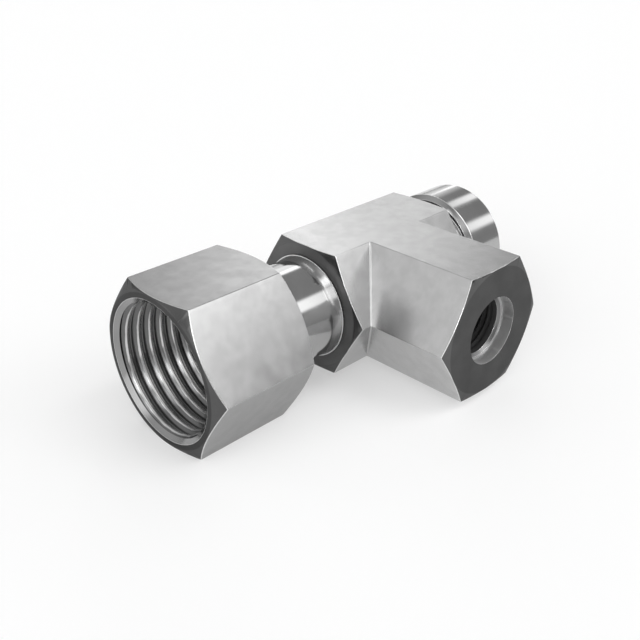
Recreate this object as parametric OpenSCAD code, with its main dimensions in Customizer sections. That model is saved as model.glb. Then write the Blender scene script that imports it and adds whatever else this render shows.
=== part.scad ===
// Tee adapter: a hexagon-bar tee with a swivel nut at one end of its run, a turned stub at the
// other end and a tapped gauge port in the branch.
// X runs along the run with the nut towards -X, the branch points towards -Y, and Z is up.
// The origin is where the axis of the branch crosses the axis of the run. Sizes are in millimetres.

/* [Body] */
// Width of the body's hexagon bar across its flats
body_af = 19; // [17.5:0.5:22]
// From the branch's axis to the end face on the nut's side
run_near = 13; // [12:0.1:18]
// From the branch's axis to the end face on the stub's side
run_far = 12.7; // [12:0.1:18]
// From the run's axis to the end face of the branch
branch_reach = 23.7; // [21:0.1:30]
// Angle of the turned chamfer on the bar's corners, measured from the end face
body_chamfer_angle = 15; // [10:1:40]
// How far the chamfer's circle on the end faces lies inside the flats
body_face_inset = 0.05; // [0.02:0.01:0.6]

/* [Stub] */
// Diameter of the turned stub
stub_d = 18.7; // [18:0.1:19]
// Length of the stub with its undercut, from the body's end face
stub_len = 10.5; // [9.5:0.1:20]
// Diameter of the undercut between the body and the stub
undercut_d = 16.4; // [15.6:0.1:17]
// Width of the undercut
undercut_w = 2.4; // [1.5:0.1:3.5]
// Chamfer at both ends of the stub
stub_chamfer = 0.7; // [0.3:0.1:0.8]

/* [Tube seat in the stub] */
// Outer diameter of the tube that the stub takes
tube_d = 12; // [10:0.1:12.5]
// Mouth diameter of the sealing cone
cone_mouth_d = 14.3; // [13.8:0.1:15.4]
// Half angle of the sealing cone
cone_half_angle = 12; // [10:1:20]
// Depth of the tube's stop below the stub's end
tube_stop = 7; // [6.7:0.1:9]

/* [Flow passages and gauge port] */
// Diameter of the passage through the run
run_bore_d = 8; // [7:0.1:9]
// Diameter of the drilling that joins the gauge port to the run
port_drill_d = 4; // [3:0.1:4.5]
// Minor diameter of the gauge port's thread
port_thread_d = 8.566; // [8:0.01:9.2]
// Diameter of the recess at the port's mouth
port_recess_d = 10; // [9.6:0.1:11]
// Depth of the recess at the port's mouth
port_recess = 1.6; // [1:0.1:2.5]
// Depth of the tapped hole below the branch's end face
port_depth = 11; // [8:0.1:12.5]
// Included angle of the drill's point at the bottom of the port
drill_point_angle = 118; // [100:1:140]

/* [Swivel nipple] */
// Diameter of the neck that the nut turns on
neck_d = 14.8; // [13.8:0.1:15.4]
// Length of neck in sight between the body and the nut
neck_sight = 9.7; // [6:0.1:20]
// How far the shoulder on the body's end face stands out from the neck
shoulder_step = 0.47; // [0.3:0.01:1]
// Length of the flare from the neck to the shoulder
flare_len = 2; // [1:0.1:4]
// Thickness of the shoulder's rim
shoulder_rim = 0.15; // [0.1:0.05:0.5]
// Diameter of the spigot in the body
spigot_d = 12; // [11:0.1:12.6]
// Depth of the body's socket for the spigot
socket_depth = 7; // [4:0.1:7.5]
// Thickness of the collar that holds the nut
collar_t = 1.3; // [1:0.1:1.6]
// Diameter of the nose's front face
nose_d = 11.8; // [11.6:0.1:12.4]
// Half angle of the nose's cone
nose_half_angle = 12; // [8:1:16]

/* [Nose O-ring] */
// Diameter of the O-ring's cord
cord_d = 1; // [0.8:0.1:1.1]
// How far the O-ring stands out of its groove
ring_height = 0.2; // [0.1:0.05:0.3]

/* [Swivel nut] */
// Length of the nut
nut_len = 16.6; // [16:0.1:22]
// Angle of the turned chamfer on the nut's corners, measured from the end face
nut_chamfer_angle = 30; // [15:1:40]
// How far the chamfer's circle on the nut's end faces lies inside the flats
nut_face_inset = 0.15; // [0.05:0.05:0.4]
// Minor diameter of the nut's thread
thread_minor_d = 18.2; // [17.6:0.1:19.6]
// Depth of the thread below the nut's front face
thread_depth = 10.7; // [8:0.1:10.9]
// Chamfer at the nut's mouth, measured outward from the thread
mouth_chamfer = 1.05; // [0.9:0.05:1.3]
// Depth of the relief behind the thread, measured outward from the thread
relief_depth = 0.95; // [0.6:0.05:1.1]
// Thickness of the nut's wall at its flats, outside the relief
nut_wall = 0.95; // [0.85:0.05:2.95]
// Thickness of the nut's rear wall
rear_wall = 2; // [1.6:0.1:2.2]

/* [Fits] */
// Radial clearance between the nut and the neck it turns on
running_gap = 0.08; // [0.02:0.01:0.1]
// Axial clearance between the nut's rear wall and the collar
thrust_gap = 0.2; // [0.1:0.05:0.3]
// Radial clearance between the nut's thread and the collar
collar_gap = 0.3; // [0.2:0.05:0.5]
// Radial clearance of the spigot in its socket, filled by solder
solder_gap = 0.05; // [0.02:0.01:0.1]
// Clearance of the O-ring in its groove
ring_gap = 0.05; // [0.02:0.01:0.1]
// Axial clearance between the last thread and the nose
nose_gap = 0.1; // [0.05:0.05:0.5]
// Radial clearance of the tube in the stub
tube_gap = 0.05; // [0.05:0.01:0.2]

/* [Hidden] */
$fn = 96;
hex_sides = 6;

// Cuts and cutters run this far past the faces that they go through
past = 1;

body_face_r = body_af / 2 - body_face_inset;
stub_end = run_far + stub_len;
stub_start = run_far + undercut_w;
stub_r = stub_d / 2;
undercut_r = undercut_d / 2;
run_bore_r = run_bore_d / 2;

tube_socket_r = tube_d / 2 + tube_gap;
cone_mouth_r = cone_mouth_d / 2;
cone_len = (cone_mouth_r - tube_socket_r) / tan(cone_half_angle);
tube_stop_x = stub_end - tube_stop;

port_thread_r = port_thread_d / 2;
port_recess_r = port_recess_d / 2;
port_drill_r = port_drill_d / 2;
port_floor = branch_reach - port_depth;
port_lead = branch_reach - port_recess;
port_point = (port_thread_r - port_drill_r) / tan(drill_point_angle / 2);

nut_rear = -run_near - neck_sight;
nut_front = nut_rear - nut_len;
nut_inner = nut_rear - rear_wall;
thread_r = thread_minor_d / 2;
mouth_r = thread_r + mouth_chamfer;
relief_r = thread_r + relief_depth;
nut_af = 2 * (relief_r + nut_wall);
nut_face_r = nut_af / 2 - nut_face_inset;
thread_start = nut_front + mouth_r - thread_r;
thread_end = nut_front + thread_depth;

neck_r = neck_d / 2;
shoulder_r = neck_r + shoulder_step;
flare_r = (flare_len * flare_len + shoulder_step * shoulder_step) / (2 * shoulder_step);
flare_end = -run_near - shoulder_rim;
flare_start = flare_end - flare_len;
spigot_r = spigot_d / 2;
spigot_end = -run_near + socket_depth;
collar_r = thread_r - collar_gap;
collar_back = nut_inner - thrust_gap;
collar_front = collar_back - collar_t;
nose_tip = thread_end + nose_gap;
nose_tip_r = nose_d / 2;
nose_root_r = nose_tip_r + (collar_front - nose_tip) * tan(nose_half_angle);

ring_mid = (nose_tip + collar_front) / 2;
ring_cone_r = (nose_tip_r + nose_root_r) / 2;
ring_centre_r = ring_cone_r + ring_height - cord_d / 2;
groove_floor_r = ring_centre_r - cord_d / 2 - ring_gap;
groove_w = cord_d + 2 * ring_gap;

// Turns a piece drawn along Z so that it lies along the run
module along_run() {
    rotate([0, 90, 0])
        children();
}

// Turns a piece drawn along Z so that it lies along the branch
module along_branch() {
    rotate([90, 0, 0])
        children();
}

// Turns an outline of radii and heights about the run's axis
module turned(outline) {
    along_run()
        rotate_extrude()
            polygon(outline);
}

// A hexagon bar between two heights, with its corners turned off at both ends
module hex_bar(af, low, high, face_r, angle) {
    corner_r = af / 2 / cos(180 / hex_sides);
    outer_r = corner_r + past;
    rise = (outer_r - face_r) * tan(angle);
    intersection() {
        translate([0, 0, low])
            cylinder(r = corner_r, h = high - low, $fn = hex_sides);
        rotate_extrude()
            polygon([
                [0, low],
                [face_r, low],
                [outer_r, low + rise],
                [outer_r, high - rise],
                [face_r, high],
                [0, high]
            ]);
    }
}

// The run's bar, with flats on top and underneath
module run_bar() {
    along_run()
        rotate([0, 0, 180 / hex_sides])
            hex_bar(body_af, -run_near, run_far, body_face_r, body_chamfer_angle);
}

// The branch's bar, which meets the run in a mitre
module branch_bar() {
    along_branch()
        hex_bar(body_af, 0, branch_reach, body_face_r, body_chamfer_angle);
}

// The undercut and the stub that stand on the run's far face
module stub_outline() {
    turned([
        [0, run_far - past],
        [undercut_r, run_far - past],
        [undercut_r, stub_start],
        [stub_r - stub_chamfer, stub_start],
        [stub_r, stub_start + stub_chamfer],
        [stub_r, stub_end - stub_chamfer],
        [stub_r - stub_chamfer, stub_end],
        [0, stub_end]
    ]);
}

// The socket for the nipple, the passage, and the tube's seat and cone in one revolve
module run_passage() {
    turned([
        [0, -run_near - past],
        [spigot_r + solder_gap, -run_near - past],
        [spigot_r + solder_gap, spigot_end],
        [run_bore_r, spigot_end],
        [run_bore_r, tube_stop_x],
        [tube_socket_r, tube_stop_x],
        [tube_socket_r, stub_end - cone_len],
        [cone_mouth_r, stub_end],
        [cone_mouth_r, stub_end + past],
        [0, stub_end + past]
    ]);
}

// The gauge port: a drilling, the tapped hole with its drill point, a lead-in and a recess
module gauge_port() {
    along_branch()
        rotate_extrude()
            polygon([
                [0, 0],
                [port_drill_r, 0],
                [port_drill_r, port_floor - port_point],
                [port_thread_r, port_floor],
                [port_thread_r, port_lead - (port_recess_r - port_thread_r)],
                [port_recess_r, port_lead],
                [port_recess_r, branch_reach + past],
                [0, branch_reach + past]
            ]);
}

module tee_body() {
    color("silver")
        difference() {
            union() {
                run_bar();
                branch_bar();
                stub_outline();
            }
            run_passage();
            gauge_port();
        }
}

// Outline of the nipple without its flare: nose, collar, neck, shoulder rim and spigot
module nipple_outline() {
    polygon([
        [run_bore_r, nose_tip],
        [nose_tip_r, nose_tip],
        [nose_root_r, collar_front],
        [collar_r, collar_front],
        [collar_r, collar_back],
        [neck_r, collar_back],
        [neck_r, flare_end],
        [shoulder_r, flare_end],
        [shoulder_r, -run_near],
        [spigot_r, -run_near],
        [spigot_r, spigot_end - solder_gap],
        [run_bore_r, spigot_end - solder_gap]
    ]);
}

// The hollow flare that joins the neck to the shoulder
module flare_outline() {
    difference() {
        translate([run_bore_r, flare_start])
            square([shoulder_r - run_bore_r, flare_len]);
        translate([neck_r + flare_r, flare_start])
            circle(r = flare_r);
    }
}

module ring_groove_outline() {
    translate([groove_floor_r, ring_mid - groove_w / 2])
        square([cord_d + past, groove_w]);
}

module swivel_nipple() {
    color("gainsboro")
        along_run()
            rotate_extrude()
                difference() {
                    union() {
                        nipple_outline();
                        flare_outline();
                    }
                    ring_groove_outline();
                }
}

module nose_o_ring() {
    color("black")
        along_run()
            translate([0, 0, ring_mid])
                rotate_extrude()
                    translate([ring_centre_r, 0])
                        circle(d = cord_d);
}

// The nut's mouth, threaded stretch, relief and rear hole in one revolve
module nut_hollow() {
    turned([
        [0, nut_front - past],
        [mouth_r + past, nut_front - past],
        [thread_r, thread_start],
        [thread_r, thread_end],
        [relief_r, thread_end + relief_r - thread_r],
        [relief_r, nut_inner],
        [neck_r + running_gap, nut_inner],
        [neck_r + running_gap, nut_rear + past],
        [0, nut_rear + past]
    ]);
}

module swivel_nut() {
    color("lightgray")
        difference() {
            along_run()
                rotate([0, 0, 180 / hex_sides])
                    hex_bar(nut_af, nut_front, nut_rear, nut_face_r, nut_chamfer_angle);
            nut_hollow();
        }
}

tee_body();
swivel_nipple();
nose_o_ring();
swivel_nut();
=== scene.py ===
import math

import bmesh
import bpy
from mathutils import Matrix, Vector
from mathutils.geometry import delaunay_2d_cdt


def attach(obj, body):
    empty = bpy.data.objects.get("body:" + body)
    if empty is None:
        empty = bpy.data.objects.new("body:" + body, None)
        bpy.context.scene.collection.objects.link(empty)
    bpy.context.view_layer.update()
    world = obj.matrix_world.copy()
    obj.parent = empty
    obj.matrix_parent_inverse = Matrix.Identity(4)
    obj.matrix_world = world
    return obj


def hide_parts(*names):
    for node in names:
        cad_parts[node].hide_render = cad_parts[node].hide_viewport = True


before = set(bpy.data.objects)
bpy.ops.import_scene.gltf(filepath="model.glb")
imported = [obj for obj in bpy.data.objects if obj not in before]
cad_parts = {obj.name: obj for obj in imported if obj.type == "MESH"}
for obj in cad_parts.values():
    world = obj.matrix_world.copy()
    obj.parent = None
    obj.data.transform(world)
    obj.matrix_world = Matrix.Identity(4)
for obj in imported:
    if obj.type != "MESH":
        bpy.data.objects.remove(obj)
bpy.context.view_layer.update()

# Lengths are in millimetres up to finished(), which turns them into metres
MM = 0.001

# The tee body: its hexagon bars and the passage through the run
BODY_AF = 19.0
BODY_NEAR = -13.0
BODY_FAR = 12.7
BRANCH_END = 23.7
BODY_FACE_R = 9.45
BODY_CHAMFER = math.radians(15)
RUN_BORE_R = 4.0
SOCKET_R = 6.05
SOCKET_END = -6.0
CROSSING_HALF = 3.0

# The stub and the tube's seat in it
UNDERCUT_R = 8.2
STUB_START = 15.1
STUB_END = 23.2
STUB_R = 9.35
STUB_RIM_R = 8.65
STUB_CHAMFER = 0.7
CONE_MOUTH_R = 7.15
CONE_END = 18.025
TUBE_R = 6.05
TUBE_STOP = 16.2

# The gauge port
PORT_RECESS_R = 5.0
PORT_RECESS_DEPTH = 1.85
PORT_STEP_R = 4.68
PORT_LEAD_IN = 0.4
PORT_MINOR_R = 4.283
PORT_THREAD_DEPTH = 0.5
PORT_PITCH = 0.907
PORT_ROWS_PER_PITCH = 14
PORT_THREAD_BELOW_RECESS = 1.2
PORT_DEPTH = 11.0
PORT_POINT = 1.372
PORT_DRILL_R = 2.0

# The swivel nut
NUT_AF = 22.0
NUT_FRONT = -39.3
NUT_REAR = -22.7
NUT_FACE_R = 10.85
NUT_CHAMFER = math.radians(30)
NUT_MOUTH_R = 10.07
NUT_LIP_R = 9.42
NUT_MOUTH_DEPTH = 0.55
NUT_MINOR_R = 9.1
NUT_THREAD_DEPTH = 0.85
NUT_PITCH = 1.88
NUT_ROWS_PER_PITCH = 26
NUT_THREAD_PHASE = 0.45
NUT_THREAD_END = -28.6
NUT_RELIEF_R = 10.05
NUT_WALL = -24.7
NUT_HOLE_R = 7.48

# The swivel nipple: cone nose with its groove, collar, neck, flared shoulder and spigot
NOSE_END = -28.5
NOSE_R = 5.9
GROOVE_FRONT = -27.9
GROOVE_FRONT_R = 6.028
GROOVE_BACK = -26.8
GROOVE_BACK_R = 6.261
GROOVE_FLOOR_R = 5.294
COLLAR_FRONT = -26.2
CONE_R_AT_COLLAR = 6.389
COLLAR_BACK = -24.9
COLLAR_R = 8.8
NECK_R = 7.4
FLARE_START = -15.15
FLARE_LENGTH = 1.8
FLARE_ARC_R = 5.8
FLARE_STEPS = 8
LIP_R = 7.8
SPIGOT_R = 6.0
SPIGOT_END = -6.05

# The O-ring
O_RING_AT = -27.35
O_RING_R = 5.844
O_RING_CORD_R = 0.5

# Small roundings that a real edge has
BAR_ROUND = 0.16
EDGE_SETBACK = 0.07
MITRE_FILLET = 0.22

# How finely things are divided
CORNER_POINTS = 5
BODY_FLAT_POINTS = 15
NUT_FLAT_POINTS = 27
MITRE_POINTS = 5
WELD = 0.0008


# Outlines

def hexagon(af, radius, per_flat):
    """Points round a hexagon whose corners are rounded, starting at the corner on the first axis."""
    centre = (af / 2 - radius) / math.cos(math.radians(30))
    points = []
    for k in range(6):
        corner = math.radians(60 * k)
        for j in range(CORNER_POINTS):
            a = corner + math.radians(-30 + 60 * j / (CORNER_POINTS - 1))
            points.append((centre * math.cos(corner) + radius * math.cos(a),
                           centre * math.sin(corner) + radius * math.sin(a)))
        following = math.radians(60 * (k + 1))
        side = corner + math.radians(30)
        start = points[-1]
        end = (centre * math.cos(following) + radius * math.cos(side),
               centre * math.sin(following) + radius * math.sin(side))
        for j in range(1, per_flat + 1):
            t = j / (per_flat + 1)
            points.append((start[0] + (end[0] - start[0]) * t, start[1] + (end[1] - start[1]) * t))
    return points


def angles_of(points):
    """The polar angle of each point, rising all the way round from the first."""
    result = []
    for u, w in points:
        a = math.atan2(w, u)
        while result and a < result[-1]:
            a += 2 * math.pi
        result.append(a)
    return result


def even_angles(count):
    return [2 * math.pi * k / count for k in range(count)]


def filleted(outline, steps=3):
    """An open outline of (s, r, radius) points with each corner rounded to its radius. A fourth value
    marks a corner that shows as a bright edge. The result is a list of (s, r, bright)."""
    result = [(*outline[0][:2], False)]
    for before, here, after in zip(outline, outline[1:], outline[2:]):
        p = Vector(here[:2])
        to_a = Vector(before[:2]) - p
        to_b = Vector(after[:2]) - p
        turn = math.pi - to_a.angle(to_b)
        radius = here[2]
        bright = len(here) > 3
        if radius <= 0 or turn < 0.05:
            result.append((p.x, p.y, False))
            continue
        reach = radius * math.tan(turn / 2)
        limit = 0.45 * min(to_a.length, to_b.length)
        if reach > limit:
            radius *= limit / reach
            reach = limit
        middle = (to_a.normalized() + to_b.normalized()).normalized()
        start = p + to_a.normalized() * reach
        centre = p + middle * (radius / math.cos(turn / 2))
        first = start - centre
        last = p + to_b.normalized() * reach - centre
        sweep = math.atan2(first.x * last.y - first.y * last.x, first.dot(last))
        for j in range(steps + 1):
            a = sweep * j / steps
            result.append((centre.x + first.x * math.cos(a) - first.y * math.sin(a),
                           centre.y + first.x * math.sin(a) + first.y * math.cos(a), bright and j > 0))
    result.append((*outline[-1][:2], False))
    return result


# Placing: s runs along an axis, and the angle turns right-handed about it

def on_run(s, r, a):
    return Vector((s, r * math.cos(a), r * math.sin(a)))


def on_branch(s, r, a):
    return Vector((r * math.cos(a), -s, r * math.sin(a)))


# Mesh helpers

def ring(bm, place, s, r, angles):
    return [bm.verts.new(place(s, r, a)) for a in angles]


def face(bm, verts, material):
    """A face that leaves out repeated corners, and is left out itself where fewer than three remain."""
    distinct = []
    for v in verts:
        if v not in distinct:
            distinct.append(v)
    if len(distinct) > 2:
        f = bm.faces.new(distinct)
        f.material_index = material


def bridge(bm, a, b, material):
    n = len(a)
    for i in range(n):
        j = (i + 1) % n
        face(bm, [a[i], a[j], b[j], b[i]], material)


def lathe(bm, place, outline, angles, material, first=None, last=None, edge=None):
    """Rings along an outline of (s, r, bright) points. material is a number or a function of the
    segment's ends, and edge is the material of a bright rounding."""
    rows = []
    for k, (s, r, bright) in enumerate(outline):
        if k == 0 and first:
            rows.append(first)
        elif k == len(outline) - 1 and last:
            rows.append(last)
        else:
            rows.append(ring(bm, place, s, r, angles))
        if k:
            m = material(outline[k - 1], outline[k]) if callable(material) else material
            bridge(bm, rows[-2], rows[-1], edge if bright and edge is not None else m)
    return rows


def thread_shape(t, power=1.6):
    """Depth of a thread, from 0 on its broad rounded crest to 1 in its narrow root."""
    total = 0.0
    for k in (-1, 0, 1):
        away = 1 - abs(((t + k * 0.015) % 1.0) - 0.5) * 2
        total += away ** power
    return total / 3


def threaded_wall(bm, place, angles, start, end, radius_at, minor, depth, pitch, per_pitch, material,
                  phase=0.0):
    """A wall with an internal right-hand thread, whose rows follow the helix. The thread is nowhere
    narrower than radius_at, and phase is how much of a pitch it stands back from the wall's start."""
    turns = (end - start) / pitch + 1
    count = math.ceil(turns * per_pitch) + 1
    rows = []
    for j in range(count + 1):
        groove = minor + depth * thread_shape(j / per_pitch + phase)
        row = []
        for a in angles:
            s = start + pitch * (j / per_pitch - 1 + (a - angles[0]) / (2 * math.pi))
            s = min(max(s, start), end)
            row.append(bm.verts.new(place(s, max(groove, radius_at(s)), a)))
        rows.append(row)
    n = len(angles)
    for j in range(count):
        for i in range(n - 1):
            face(bm, [rows[j][i], rows[j][i + 1], rows[j + 1][i + 1], rows[j + 1][i]], material)
        if j + 1 + per_pitch <= count:
            face(bm, [rows[j][n - 1], rows[j + per_pitch][0], rows[j + 1 + per_pitch][0],
                      rows[j + 1][n - 1]], material)


def finished(bm, name, materials, body, node, sharp=38):
    """Turns a bmesh in millimetres into a piece that stands for a CAD node. Edges that turn by more
    than sharp degrees stay sharp."""
    bmesh.ops.remove_doubles(bm, verts=bm.verts, dist=WELD)
    bmesh.ops.dissolve_degenerate(bm, edges=bm.edges, dist=WELD)
    bmesh.ops.recalc_face_normals(bm, faces=bm.faces)
    bmesh.ops.scale(bm, vec=(MM, MM, MM), verts=bm.verts)
    mesh = bpy.data.meshes.new(name)
    bm.to_mesh(mesh)
    bm.free()
    for m in materials:
        mesh.materials.append(m)
    mesh.polygons.foreach_set("use_smooth", [True] * len(mesh.polygons))
    mesh.set_sharp_from_angle(angle=math.radians(sharp))
    obj = bpy.data.objects.new(name, mesh)
    bpy.context.scene.collection.objects.link(obj)
    weighted = obj.modifiers.new("weighted", "WEIGHTED_NORMAL")
    weighted.mode = "FACE_AREA"
    weighted.weight = 50
    weighted.keep_sharp = True
    bpy.context.view_layer.update()
    evaluated = obj.evaluated_get(bpy.context.evaluated_depsgraph_get())
    baked = bpy.data.meshes.new_from_object(evaluated)
    obj.modifiers.clear()
    obj.data = baked
    baked.name = name
    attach(obj, body)
    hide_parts(node)


def bar_end(bm, place, end, inward, points, face_r, angle, edge_material, face_material):
    """The chamfered end of a hexagon bar. Returns the ring on the flats and the circle on the end."""
    near = 0.22 * EDGE_SETBACK
    edge, middle, inner, circle = [], [], [], []
    for (u, w), a in zip(points, angles_of(points)):
        r = math.hypot(u, w)
        depth = (r - face_r) * math.tan(angle)
        edge.append(bm.verts.new(place(end + inward * (depth + EDGE_SETBACK), r, a)))
        middle.append(bm.verts.new(place(end + inward * (depth + near), r - near, a)))
        low = max(r - EDGE_SETBACK, face_r + 0.4 * (r - face_r))
        inner.append(bm.verts.new(place(end + inward * (low - face_r) * math.tan(angle), low, a)))
        circle.append(bm.verts.new(place(end, face_r, a)))
    bridge(bm, edge, middle, edge_material)
    bridge(bm, middle, inner, edge_material)
    bridge(bm, inner, circle, face_material)
    return edge, circle


# Material helpers. Bump distances are in metres and noise scales are per metre

def principled(name, base, metallic, roughness):
    material = bpy.data.materials.new(name)
    material.use_nodes = True
    shader = material.node_tree.nodes["Principled BSDF"]
    shader.inputs["Base Color"].default_value = (base, base, base, 1)
    shader.inputs["Metallic"].default_value = metallic
    shader.inputs["Roughness"].default_value = roughness
    return material, material.node_tree, shader


def tint_grazing(shader, share):
    """How much of a mirror a metal still is when it is seen at a low angle."""
    shader.inputs["Specular Tint"].default_value = (share, share, share, 1)


def noise(tree, coordinate, scale, detail=2.0, roughness=0.5):
    made = tree.nodes.new("ShaderNodeTexNoise")
    made.inputs["Scale"].default_value = scale
    made.inputs["Detail"].default_value = detail
    made.inputs["Roughness"].default_value = roughness
    tree.links.new(coordinate, made.inputs["Vector"])
    return made.outputs["Fac"]


def between(tree, value, low, high, out_low, out_high):
    """A value mapped from one range to another."""
    made = tree.nodes.new("ShaderNodeMapRange")
    made.inputs["From Min"].default_value = low
    made.inputs["From Max"].default_value = high
    made.inputs["To Min"].default_value = out_low
    made.inputs["To Max"].default_value = out_high
    tree.links.new(value, made.inputs["Value"])
    return made.outputs["Result"]


def object_coordinates(tree):
    return tree.nodes.new("ShaderNodeTexCoord").outputs["Object"]


def along_axis(tree, at, axis):
    """Where a point lies along one of the axes."""
    split = tree.nodes.new("ShaderNodeSeparateXYZ")
    tree.links.new(at, split.inputs[0])
    return split.outputs[axis]


def from_axis(tree, at, axis):
    """How far a point lies from one of the axes."""
    flatten = tree.nodes.new("ShaderNodeVectorMath")
    flatten.operation = "MULTIPLY"
    flatten.inputs[1].default_value = [0.0 if k == axis else 1.0 for k in range(3)]
    tree.links.new(at, flatten.inputs[0])
    length = tree.nodes.new("ShaderNodeVectorMath")
    length.operation = "LENGTH"
    tree.links.new(flatten.outputs["Vector"], length.inputs[0])
    return length.outputs["Value"]


def lines(tree, value, scale):
    """Noise that changes with one value only, as the marks of a cutting tool do."""
    vector = tree.nodes.new("ShaderNodeCombineXYZ")
    tree.links.new(value, vector.inputs[0])
    return noise(tree, vector.outputs[0], scale, 2.0, 0.6)


def grey(tree, value, low, high, dark, light):
    """A grey that goes from dark to light as value goes from low to high."""
    ramp = tree.nodes.new("ShaderNodeValToRGB")
    ramp.color_ramp.elements[0].position = low
    ramp.color_ramp.elements[0].color = (dark, dark, dark, 1)
    ramp.color_ramp.elements[1].position = high
    ramp.color_ramp.elements[1].color = (light, light, light, 1)
    tree.links.new(value, ramp.inputs["Fac"])
    return ramp.outputs["Color"]


def bump(tree, shader, height, distance, strength):
    made = tree.nodes.new("ShaderNodeBump")
    made.inputs["Strength"].default_value = strength
    made.inputs["Distance"].default_value = distance
    tree.links.new(height, made.inputs["Height"])
    tree.links.new(made.outputs["Normal"], shader.inputs["Normal"])


# Materials

def satin_steel(name, base, grazing):
    """Drawn bar with the soft cloudy skin of a tumbled and plated part."""
    material, tree, shader = principled(name, base, 1.0, 0.3)
    tint_grazing(shader, grazing)
    at = object_coordinates(tree)
    clouds = noise(tree, at, 560, 2.0, 0.55)
    tree.links.new(grey(tree, clouds, 0.35, 0.65, base * 0.96, base * 1.04), shader.inputs["Base Color"])
    patches = noise(tree, at, 380, 1.0, 0.5)
    tree.links.new(between(tree, patches, 0.3, 0.7, 0.21, 0.27), shader.inputs["Roughness"])
    swell = noise(tree, at, 480, 1.0, 0.4)
    bump(tree, shader, swell, 0.00003, 0.2)
    return material


def edge_steel(name, base, metallic=1.0, roughness=0.2):
    """A rounded edge with a lighter base than its faces: partly wear from handling, partly a painted
    highlight that draws the edge as a thin bright line.
    """
    material, tree, shader = principled(name, base, metallic, roughness)
    rub_and_highlight = noise(tree, object_coordinates(tree), 900)
    # The lighter base is painted highlight as well as rubbed wear; the noise only varies it a little.
    tree.links.new(grey(tree, rub_and_highlight, 0.3, 0.7, base * 0.9, base * 1.05), shader.inputs["Base Color"])
    tree.links.new(between(tree, rub_and_highlight, 0.3, 0.7, roughness * 0.8, roughness * 1.3),
                   shader.inputs["Roughness"])
    return material


def turned_steel(name, base, roughness, axis, metallic=1.0):
    """Steel turned on a lathe, with fine rings about its own axis."""
    material, tree, shader = principled(name, base, metallic, roughness)
    at = object_coordinates(tree)
    cuts = lines(tree, along_axis(tree, at, axis), 9000)
    drift = noise(tree, at, 260)
    tree.links.new(grey(tree, drift, 0.3, 0.7, base * 0.95, base * 1.04), shader.inputs["Base Color"])
    tree.links.new(between(tree, drift, 0.3, 0.7, roughness * 0.85, roughness * 1.2),
                   shader.inputs["Roughness"])
    bump(tree, shader, cuts, 0.0000015, 0.5)
    return material


def faced_steel(name, base, roughness, axis, metallic=1.0):
    """A face left by the facing tool, with rings about the axis that it is square to. Where it is given a
    base near 0.1, on end faces and chamfers, that dark base is painted shade.
    """
    material, tree, shader = principled(name, base, metallic, roughness)
    tint_grazing(shader, 0.55)
    at = object_coordinates(tree)
    cuts = lines(tree, from_axis(tree, at, axis), 7000)
    drift = noise(tree, at, 300)
    # A near-black base here is painted shade, standing in for the darkness the face would mirror.
    tree.links.new(grey(tree, drift, 0.3, 0.7, base * 0.9, base * 1.08), shader.inputs["Base Color"])
    tree.links.new(between(tree, cuts, 0.3, 0.7, roughness * 0.8, roughness * 1.25),
                   shader.inputs["Roughness"])
    bump(tree, shader, cuts, 0.0000015, 0.4)
    return material


def thread_steel(name, crest, flank, root, near, far):
    """Steel of an internal thread, its colour painted by depth: light on the crests as a painted highlight,
    dark on the flanks and in the roots as painted shade.
    near and far are the radii of crest and root in metres."""
    material, tree, shader = principled(name, flank, 0.8, 0.16)
    at = object_coordinates(tree)
    depth = between(tree, from_axis(tree, at, 0), near, far, 0.0, 1.0)
    drift = noise(tree, at, 700)
    smeared = tree.nodes.new("ShaderNodeMath")
    smeared.operation = "MULTIPLY_ADD"
    tree.links.new(drift, smeared.inputs[0])
    smeared.inputs[1].default_value = 0.16
    tree.links.new(depth, smeared.inputs[2])
    # The ramp paints a highlight on the crests and shade on the flanks and in the roots.
    ramp = tree.nodes.new("ShaderNodeValToRGB")
    ramp.color_ramp.interpolation = "EASE"
    stops = ramp.color_ramp.elements
    stops[0].position = 0.22
    stops[0].color = (crest, crest, crest, 1)
    stops[1].position = 0.85
    stops[1].color = (root, root, root, 1)
    middle = stops.new(0.32)
    middle.color = (flank, flank, flank, 1)
    tree.links.new(smeared.outputs[0], ramp.inputs["Fac"])
    tree.links.new(ramp.outputs["Color"], shader.inputs["Base Color"])
    tree.links.new(between(tree, drift, 0.3, 0.7, 0.13, 0.19), shader.inputs["Roughness"])
    return material


def rubber():
    material, tree, shader = principled("seal_rubber_look", 0.02, 0.0, 0.5)
    grain = noise(tree, object_coordinates(tree), 4000, 3.0, 0.6)
    tree.links.new(grey(tree, grain, 0.3, 0.7, 0.014, 0.028), shader.inputs["Base Color"])
    tree.links.new(between(tree, grain, 0.3, 0.7, 0.42, 0.6), shader.inputs["Roughness"])
    bump(tree, shader, grain, 0.00001, 0.5)
    return material


# The looks of each piece, in the order of the names above them
FLAT, END, TURNED, EDGE, PORT_END, PORT_TURNED, DEEP, PORT_BORE, CHAMFER, PORT_CHAMFER = range(10)
body_looks = [
    satin_steel("body_satin", 0.56, 0.8),
    # body_faced, branch_faced, body_chamfer and branch_chamfer have near-black bases: painted shade on the
    # end faces and chamfers.
    faced_steel("body_faced", 0.13, 0.4, 0, 0.6),
    turned_steel("body_turned", 0.43, 0.13, 0),
    edge_steel("body_edge", 0.75),
    faced_steel("branch_faced", 0.092, 0.16, 1),
    turned_steel("port_turned", 0.5, 0.33, 1, 0.66),
    # bore_turned and port_bore are dark bases: painted shade in the passage, sockets, lead-in and the
    # port's drilling.
    turned_steel("bore_turned", 0.2, 0.3, 0),
    turned_steel("port_bore", 0.06, 0.8, 1, 0.5),
    faced_steel("body_chamfer", 0.12, 0.3, 0),
    faced_steel("branch_chamfer", 0.125, 0.2, 1),
]
NUT_FLAT, NUT_END, NUT_THREAD, NUT_EDGE, NUT_TURNED, NUT_BACK, NUT_CHAMFERED = range(7)
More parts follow.
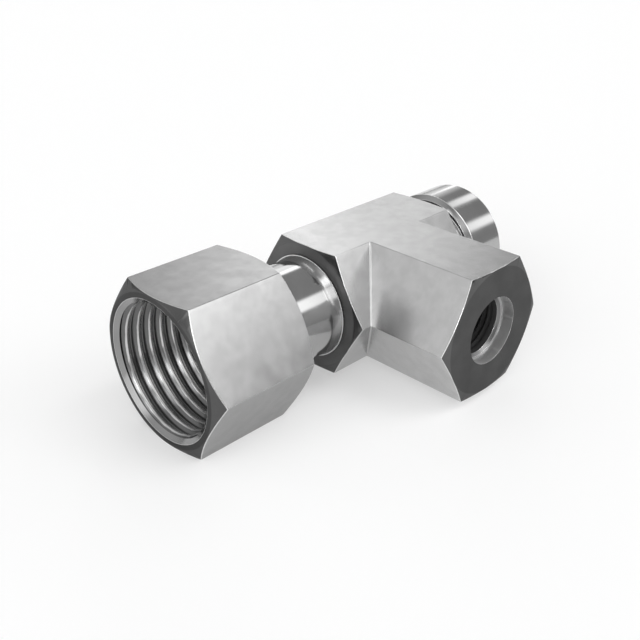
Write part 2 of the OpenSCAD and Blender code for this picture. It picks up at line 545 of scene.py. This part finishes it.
nut_looks = [
    satin_steel("nut_satin", 0.44, 0.62),
    # nut_faced and nut_chamfer have near-black bases: painted shade on the nut's front face and chamfers.
    faced_steel("nut_faced", 0.074, 0.16, 0),
    # nut_thread: painted highlight on the crests, painted shade on the flanks and roots.
    thread_steel("nut_thread", 0.63, 0.15, 0.15, 0.0091, 0.00995),
    edge_steel("nut_edge", 0.7),
    turned_steel("nut_turned", 0.29, 0.16, 0),
    faced_steel("nut_back", 0.45, 0.3, 0),
    faced_steel("nut_chamfer", 0.11, 0.2, 0),
]
NECK_TURNED, NECK_BORE, NECK_EDGE, NECK_FLARE = range(4)
neck_looks = [
    turned_steel("neck_turned", 0.43, 0.12, 0),
    # neck_bore is a dark base: painted shade in the nipple's bore.
    turned_steel("neck_bore", 0.2, 0.3, 0),
    # neck_edge is half diffuse and near white: a painted highlight for the thin bright ring at the lip.
    edge_steel("neck_edge", 0.85, 0.5, 0.35),
    # neck_flare is the neck's steel with a darker base and some diffuse: painted shade on the flare.
    turned_steel("neck_flare", 0.34, 0.16, 0, 0.76),
]


# The tee body: two hexagon bars that meet in a mitre, each a skin of strips between chamfered ends

def mirrored(index, block, per_flat):
    """The point of the hexagon that lies across the second axis from this one."""
    k, m = divmod(index, block)
    if m < CORNER_POINTS:
        return ((3 - k) % 6) * block + CORNER_POINTS - 1 - m
    return ((2 - k) % 6) * block + 2 * CORNER_POINTS + per_flat - 1 - m


def mitre_path(bm, point, side):
    """The fillet where a line of the run's flank turns into the branch's flank."""
    u = -point[0]
    path = []
    for j in range(MITRE_POINTS):
        a = math.radians(90 - 90 * j / (MITRE_POINTS - 1))
        x = -u - MITRE_FILLET + MITRE_FILLET * math.cos(a)
        y = -u - MITRE_FILLET + MITRE_FILLET * math.sin(a)
        path.append(bm.verts.new((x * side, y, point[1])))
    return path


def add_bars(bm, points):
    """The flats of both bars between their chamfered ends. Returns the circles on the three ends."""
    block = CORNER_POINTS + BODY_FLAT_POINTS
    near, near_circle = bar_end(bm, on_run, BODY_NEAR, 1, points, BODY_FACE_R, BODY_CHAMFER, EDGE, CHAMFER)
    far, far_circle = bar_end(bm, on_run, BODY_FAR, -1, points, BODY_FACE_R, BODY_CHAMFER, EDGE, CHAMFER)
    tip, tip_circle = bar_end(bm, on_branch, BRANCH_END, -1, points, BODY_FACE_R, BODY_CHAMFER, EDGE,
                              PORT_CHAMFER)

    # Flanks on the branch's side run from each end of the run round the mitre to the branch's end
    front = range(2 * block, 4 * block + CORNER_POINTS)
    left, right = {}, {}
    for i in front:
        left[i] = [near[i]] + mitre_path(bm, points[i], 1) + [tip[i]]
    for i in front:
        right[i] = [far[i]] + mitre_path(bm, points[i], -1) + [tip[mirrored(i, block, BODY_FLAT_POINTS)]]
    for strip in (left, right):
        for i in list(front)[:-1]:
            for k in range(MITRE_POINTS + 1):
                face(bm, [strip[i][k], strip[i + 1][k], strip[i + 1][k + 1], strip[i][k + 1]], FLAT)

    # Flanks on the back run straight through
    back = list(range(5 * block, 6 * block)) + list(range(0, block + CORNER_POINTS))
    for i, j in zip(back, back[1:]):
        face(bm, [near[i], near[j], far[j], far[i]], FLAT)

    # The flats on top and underneath are one T-shaped face each
    top = (block + CORNER_POINTS - 1, 2 * block)
    underneath = (5 * block, 4 * block + CORNER_POINTS - 1)
    for back_corner, mitre_corner in (top, underneath):
        step = 1 if mitre_corner > back_corner else -1
        span = list(range(back_corner, mitre_corner + step, step))
        outline = [near[i] for i in span] + left[mitre_corner][1:-1] + [tip[i] for i in reversed(span)]
        outline += right[mitre_corner][1:-1][::-1] + [far[i] for i in reversed(span)]
        face(bm, outline, FLAT)
    return near_circle, far_circle, tip_circle


def add_crossing(bm, polar, low_ring, high_ring, saddle):
    """The passage's wall round the port's drilling, filled on its unrolled surface."""
    unrolled, where = [], []

    def add(v, x, a):
        unrolled.append(Vector((x, RUN_BORE_R * a)))
        where.append(v)
        return len(where) - 1

    low_side = [add(v, -CROSSING_HALF, a) for v, a in zip(low_ring, polar)]
    high_side = [add(v, CROSSING_HALF, a) for v, a in zip(high_ring, polar)]
    turned_round = polar[0] + 2 * math.pi
    low_side.append(add(low_ring[0], -CROSSING_HALF, turned_round))
    high_side.append(add(high_ring[0], CROSSING_HALF, turned_round))
    hole = [add(v, v.co.x, math.atan2(v.co.z, v.co.y) % (2 * math.pi)) for v in saddle]
    edges = [(a, b) for side in (low_side, high_side) for a, b in zip(side, side[1:])]
    edges += [(low_side[0], high_side[0]), (low_side[-1], high_side[-1])]
    edges += [(a, b) for a, b in zip(hole, hole[1:] + hole[:1])]
    result = delaunay_2d_cdt(unrolled, edges, [], 0, 1e-6)
    origin = [where[ids[0]] for ids in result[3]]
    for triangle in result[2]:
        middle = sum((result[0][k] for k in triangle), Vector((0, 0))) / 3
        a = middle.y / RUN_BORE_R
        in_hole = math.hypot(middle.x, RUN_BORE_R * math.sin(a)) < PORT_DRILL_R * 0.999
        if not (math.cos(a) < 0 and in_hole):
            face(bm, [origin[k] for k in triangle], DEEP)


def make_body():
    bm = bmesh.new()
    points = hexagon(BODY_AF, BAR_ROUND, BODY_FLAT_POINTS)
    polar = angles_of(points)
    near_circle, far_circle, tip_circle = add_bars(bm, points)

    # The run's near end: its socket up to the wall where the port's drilling comes in
    socket = filleted([
        (BODY_NEAR, BODY_FACE_R, 0), (BODY_NEAR, SOCKET_R, 0.08), (SOCKET_END, SOCKET_R, 0.05),
        (SOCKET_END, RUN_BORE_R, 0.05), (-CROSSING_HALF, RUN_BORE_R, 0),
    ])
    socket_rows = lathe(bm, on_run, socket, polar,
                        lambda a, b: END if b[0] < BODY_NEAR + 0.02 else DEEP, first=near_circle)

    # The far end: undercut, stub, sealing cone, tube seat and passage
    stub = filleted([
        (BODY_FAR, BODY_FACE_R, 0), (BODY_FAR, UNDERCUT_R, 0.15), (STUB_START, UNDERCUT_R, 0.15),
        (STUB_START, STUB_RIM_R, 0.12, 1), (STUB_START + STUB_CHAMFER, STUB_R, 0.18, 1),
        (STUB_END - STUB_CHAMFER, STUB_R, 0.15, 1), (STUB_END, STUB_RIM_R, 0.12, 1),
        (STUB_END, CONE_MOUTH_R, 0.08, 1), (CONE_END, TUBE_R, 0.05), (TUBE_STOP, TUBE_R, 0.05),
        (TUBE_STOP, RUN_BORE_R, 0.08), (CROSSING_HALF, RUN_BORE_R, 0),
    ])

    def stub_material(a, b):
        if max(a[0], b[0]) < BODY_FAR + 0.02:
            return END
        return DEEP if max(a[1], b[1]) < RUN_BORE_R + 0.2 else TURNED

    stub_rows = lathe(bm, on_run, stub, polar, stub_material, first=far_circle, edge=EDGE)

    # The port: recess, lead-in, thread, drill point and drilling
    recess_end = BRANCH_END - PORT_RECESS_DEPTH
    port_bottom = BRANCH_END - PORT_DEPTH
    thread_top = recess_end - PORT_THREAD_BELOW_RECESS

    def port_material(a, b):
        if b[0] > BRANCH_END - 0.02:
            return PORT_END
        if b[0] < recess_end - 0.5:
            return PORT_BORE
        return PORT_TURNED if b[1] > PORT_STEP_R - 0.01 else DEEP

    recess = filleted([
        (BRANCH_END, BODY_FACE_R, 0), (BRANCH_END, PORT_RECESS_R, 0.05), (recess_end, PORT_RECESS_R, 0.04),
        (recess_end, PORT_STEP_R, 0.06, 1), (recess_end - PORT_LEAD_IN, PORT_MINOR_R, 0.05, 1),
        (thread_top, PORT_MINOR_R, 0),
    ])
    lathe(bm, on_branch, recess, polar, port_material, first=tip_circle, edge=EDGE)
    threaded_wall(bm, on_branch, polar, port_bottom, thread_top,
                  lambda s: PORT_MINOR_R - (thread_top - s), PORT_MINOR_R, PORT_THREAD_DEPTH, PORT_PITCH,
                  PORT_ROWS_PER_PITCH, PORT_BORE)
    drill = [(port_bottom, PORT_MINOR_R, False), (port_bottom - PORT_POINT, PORT_DRILL_R, False)]
    point_ring = lathe(bm, on_branch, drill, polar, DEEP)[-1]
    saddle = []
    for a in polar:
        z = PORT_DRILL_R * math.sin(a)
        saddle.append(bm.verts.new(on_branch(math.sqrt(RUN_BORE_R ** 2 - z ** 2), PORT_DRILL_R, a)))
    bridge(bm, point_ring, saddle, DEEP)
    add_crossing(bm, polar, socket_rows[-1], stub_rows[-1], saddle)
    finished(bm, "tee_body_dressed", body_looks, "tee", "tee_body")


def make_nut():
    bm = bmesh.new()
    points = hexagon(NUT_AF, BAR_ROUND, NUT_FLAT_POINTS)
    polar = angles_of(points)
    front, front_circle = bar_end(bm, on_run, NUT_FRONT, 1, points, NUT_FACE_R, NUT_CHAMFER, NUT_EDGE,
                                  NUT_CHAMFERED)
    rear, rear_circle = bar_end(bm, on_run, NUT_REAR, -1, points, NUT_FACE_R, NUT_CHAMFER, NUT_EDGE,
                                NUT_BACK)
    bridge(bm, front, rear, NUT_FLAT)
    thread_start = NUT_FRONT + NUT_MOUTH_DEPTH
    relief_start = NUT_THREAD_END + NUT_RELIEF_R - NUT_MINOR_R
    mouth = filleted([
        (NUT_FRONT, NUT_FACE_R, 0), (NUT_FRONT, NUT_MOUTH_R, 0.06, 1), (thread_start, NUT_LIP_R, 0),
    ])
    lathe(bm, on_run, mouth, polar, lambda a, b: NUT_END if b[0] < NUT_FRONT + 0.01 else NUT_TURNED,
          first=front_circle, edge=NUT_EDGE)

    # The mouth's chamfer goes on over the first crests, and the relief opens behind the last
    def thread_limit(s):
        return max(NUT_LIP_R - 0.6 * (s - thread_start), NUT_MINOR_R + (s - NUT_THREAD_END))

    threaded_wall(bm, on_run, polar, thread_start, relief_start, thread_limit, NUT_MINOR_R,
                  NUT_THREAD_DEPTH, NUT_PITCH, NUT_ROWS_PER_PITCH, NUT_THREAD, NUT_THREAD_PHASE)
    hollow = filleted([
        (relief_start, NUT_RELIEF_R, 0), (NUT_WALL, NUT_RELIEF_R, 0.1), (NUT_WALL, NUT_HOLE_R, 0.1),
        (NUT_REAR, NUT_HOLE_R, 0.15, 1), (NUT_REAR, NUT_FACE_R, 0),
    ])
    lathe(bm, on_run, hollow, polar, lambda a, b: NUT_BACK if a[0] > NUT_REAR - 0.02 else NUT_TURNED,
          last=rear_circle, edge=NUT_EDGE)
    finished(bm, "swivel_nut_dressed", nut_looks, "nut", "swivel_nut")


def make_nipple():
    bm = bmesh.new()
    lip_start = FLARE_START + FLARE_LENGTH

    # Nose with its O-ring groove, collar and neck
    outline = [
        (-17, RUN_BORE_R, 0), (NOSE_END, RUN_BORE_R, 0.15), (NOSE_END, NOSE_R, 0.12),
        (GROOVE_FRONT, GROOVE_FRONT_R, 0.04), (GROOVE_FRONT, GROOVE_FLOOR_R, 0.1),
        (GROOVE_BACK, GROOVE_FLOOR_R, 0.1), (GROOVE_BACK, GROOVE_BACK_R, 0.04),
        (COLLAR_FRONT, CONE_R_AT_COLLAR, 0.1), (COLLAR_FRONT, COLLAR_R, 0.12), (COLLAR_BACK, COLLAR_R, 0.1),
        (COLLAR_BACK, NECK_R, 0.1), (FLARE_START, NECK_R, 0),
    ]

    # Flare, lip and spigot
    for k in range(1, FLARE_STEPS + 1):
        x = FLARE_LENGTH * k / FLARE_STEPS
        outline.append((FLARE_START + x, NECK_R + FLARE_ARC_R - math.sqrt(FLARE_ARC_R ** 2 - x ** 2), 0))
    outline += [
        (lip_start, LIP_R, 0.04, 1), (BODY_NEAR, LIP_R, 0), (BODY_NEAR, SPIGOT_R, 0.04),
        (SPIGOT_END, SPIGOT_R, 0.12), (SPIGOT_END, RUN_BORE_R, 0.1), (-16, RUN_BORE_R, 0),
    ]

    def nipple_material(a, b):
        low_s, high_s = sorted((a[0], b[0]))
        low_r, high_r = sorted((a[1], b[1]))
        if low_s > lip_start - 0.01 and low_r > LIP_R - 0.13:
            # Past the bright ring the lip's band takes the dark bore look, a painted shadow line beside the
            # ring.
            return NECK_EDGE if high_s < lip_start + 0.06 else NECK_BORE
        if low_s > -15 and low_r > NECK_R - 0.1:
            return NECK_FLARE
        return NECK_BORE if high_r < RUN_BORE_R + 0.2 else NECK_TURNED

    rows = lathe(bm, on_run, filleted(outline), even_angles(192), nipple_material, edge=NECK_EDGE)
    bridge(bm, rows[-1], rows[0], NECK_BORE)
    finished(bm, "swivel_nipple_dressed", neck_looks, "tee", "swivel_nipple", sharp=30)


def make_ring():
    bm = bmesh.new()
    outline = [(O_RING_AT + O_RING_CORD_R * math.cos(a), O_RING_R + O_RING_CORD_R * math.sin(a), False)
               for a in even_angles(24)]
    rows = lathe(bm, on_run, outline, even_angles(128), 0)
    bridge(bm, rows[-1], rows[0], 0)
    finished(bm, "nose_o_ring_dressed", [rubber()], "tee", "nose_o_ring")


make_body()
make_nut()
make_nipple()
make_ring()


# The camera at the photograph's angle

camera_data = bpy.data.cameras.new("camera")
camera_data.sensor_width = 36
camera_data.lens = 47.69
camera_data.clip_start = 0.005
camera_data.clip_end = 20
camera = bpy.data.objects.new("camera", camera_data)
bpy.context.scene.collection.objects.link(camera)
camera.location = (-0.089277, -0.079468, 0.057618)
camera.rotation_euler = Vector((0.6194, 0.6221, -0.4790)).to_track_quat("-Z", "Y").to_euler()
bpy.context.scene.camera = camera


# The floor under the nut's lowest flat, in metres

FLOOR_HALF = 4.0
FLOOR_Z = -NUT_AF / 2 * MM
floor_mesh = bpy.data.meshes.new("floor")
floor_corners = [(x * FLOOR_HALF, y * FLOOR_HALF, FLOOR_Z) for x, y in ((-1, -1), (1, -1), (1, 1), (-1, 1))]
floor_mesh.from_pydata(floor_corners, [], [(0, 1, 2, 3)])
floor = bpy.data.objects.new("floor", floor_mesh)
bpy.context.scene.collection.objects.link(floor)
floor_look, floor_tree, floor_shader = principled("floor_look", 0.97, 0.0, 0.9)
floor_shader.inputs["Specular IOR Level"].default_value = 0.0
floor_mesh.materials.append(floor_look)

# The camera and the steel see the floor partly as a white that shines by itself, which softens the shadow
SHADOW_FILL = 0.35
floor_look.cycles.emission_sampling = "NONE"
seen = floor_tree.nodes.new("ShaderNodeLightPath")
kinds = seen.outputs["Is Camera Ray"]
for kind in ("Is Glossy Ray", "Is Transmission Ray"):
    either = floor_tree.nodes.new("ShaderNodeMath")
    either.operation = "MAXIMUM"
    floor_tree.links.new(kinds, either.inputs[0])
    floor_tree.links.new(seen.outputs[kind], either.inputs[1])
    kinds = either.outputs[0]
white = floor_tree.nodes.new("ShaderNodeEmission")
lit = floor_tree.nodes.new("ShaderNodeMixShader")
floor_tree.links.new(between(floor_tree, kinds, 0.0, 1.0, 0.0, SHADOW_FILL), lit.inputs["Fac"])
floor_tree.links.new(floor_shader.outputs["BSDF"], lit.inputs[1])
floor_tree.links.new(white.outputs["Emission"], lit.inputs[2])
floor_tree.links.new(lit.outputs["Shader"], floor_tree.nodes["Material Output"].inputs["Surface"])


# The studio: a soft grey room with softboxes, drawn on the world by direction

world = bpy.data.worlds.new("studio")
bpy.context.scene.world = world
world.use_nodes = True
sky = world.node_tree
for n in list(sky.nodes):
    sky.nodes.remove(n)
direction = sky.nodes.new("ShaderNodeTexCoord").outputs["Generated"]


def maths(operation, a, b):
    """One sum on two values, each a number or a node's output."""
    made = sky.nodes.new("ShaderNodeMath")
    made.operation = operation
    for k, value in enumerate((a, b)):
        if isinstance(value, (int, float)):
            made.inputs[k].default_value = value
        else:
            sky.links.new(value, made.inputs[k])
    return made.outputs[0]


def soft_step(value, low, high):
    """0 before low and 1 after high, with a smooth rise between them. It falls where low is above high."""
    made = sky.nodes.new("ShaderNodeMapRange")
    made.interpolation_type = "SMOOTHSTEP"
    made.inputs["From Min"].default_value = low
    made.inputs["From Max"].default_value = high
    sky.links.new(value, made.inputs["Value"])
    return made.outputs["Result"]


def cap(vector, inner, outer):
    """A round softbox about a direction, full inside one angle and gone outside the other."""
    toward = sky.nodes.new("ShaderNodeVectorMath")
    toward.operation = "DOT_PRODUCT"
    toward.inputs[1].default_value = Vector(vector).normalized()
    sky.links.new(direction, toward.inputs[0])
    return soft_step(toward.outputs["Value"], math.cos(math.radians(outer)), math.cos(math.radians(inner)))


axes = sky.nodes.new("ShaderNodeSeparateXYZ")
sky.links.new(direction, axes.inputs[0])
along_run = axes.outputs[0]
turn = maths("MULTIPLY", maths("ARCTAN2", axes.outputs[2], axes.outputs[1]), 180 / math.pi)


def strip(low, high, soft, reach_low, reach_high, reach_soft=0.04):
    """A strip light along the run: a range of turn about the run's axis in degrees, from the far side
    over the top, and a range of the direction's share along the run. Each has its soft margin."""
    across = maths("MULTIPLY", soft_step(turn, low - soft, low + soft),
                   soft_step(turn, high + soft, high - soft))
    along = maths("MULTIPLY", soft_step(along_run, reach_low - reach_soft, reach_low + reach_soft),
                  soft_step(along_run, reach_high + reach_soft, reach_high - reach_soft))
    return maths("MULTIPLY", across, along)


# Each light's place and strength. The only other light is the room's even grey and what the floor sends up
ROOM_GREY = 0.39
lights = [
    (cap((-0.93, -0.2, 0.3), 14, 33), 1.3),
    (cap((-0.84, -0.37, 0.38), 5, 13), 4.5),
    (cap((-0.32, -0.57, 0.76), 10, 28), 0.62),
    (cap((-0.75, 0.06, 0.66), 7, 15), 1.35),
    (cap((-0.05, -0.2, 0.98), 5, 26), 0.8),
    (cap((-0.75, 0.54, 0.38), 12, 46), 0.42),
    (cap((0.65, 0.67, 0.36), 3, 17), 0.66),
    (strip(4, 20, 4, 0.45, 0.95), 0.42),
    (strip(24, 42, 4, 0.42, 0.66), 0.27),
    (strip(24, 42, 4, 0.55, 0.66), 0.5),
    (strip(130, 155, 4, 0.04, 0.635), 2.05),
    (strip(130, 154, 4, 0.635, 0.735, 0.03), 0.7),
    (strip(128, 147, 5, 0.75, 0.95, 0.02), 1.8),
    (strip(108, 126, 5, 0.04, 0.45), 3.2),
    (strip(42, 53, 3, 0.585, 0.65, 0.02), 2.4),
    (strip(20, 26, 3, 0.75, 0.82, 0.02), 2.2),
    (strip(67, 84, 4, 0.75, 0.82, 0.02), 1.8),
    (strip(156, 168, 4, 0.37, 0.45, 0.02), 2.6),
    (strip(100, 154, 4, 0.41, 0.455, 0.015), 1.6),
    (strip(54, 84, 4, 0.42, 0.45, 0.012), 3.2),
]
radiance = ROOM_GREY
for place, strength in lights:
    radiance = maths("ADD", maths("MULTIPLY", place, strength), radiance)
background = sky.nodes.new("ShaderNodeBackground")
background.inputs["Strength"].default_value = 1.0
sky.links.new(radiance, background.inputs["Color"])
output = sky.nodes.new("ShaderNodeOutputWorld")
sky.links.new(background.outputs[0], output.inputs[0])

bpy.context.scene.view_settings.view_transform = "Standard"
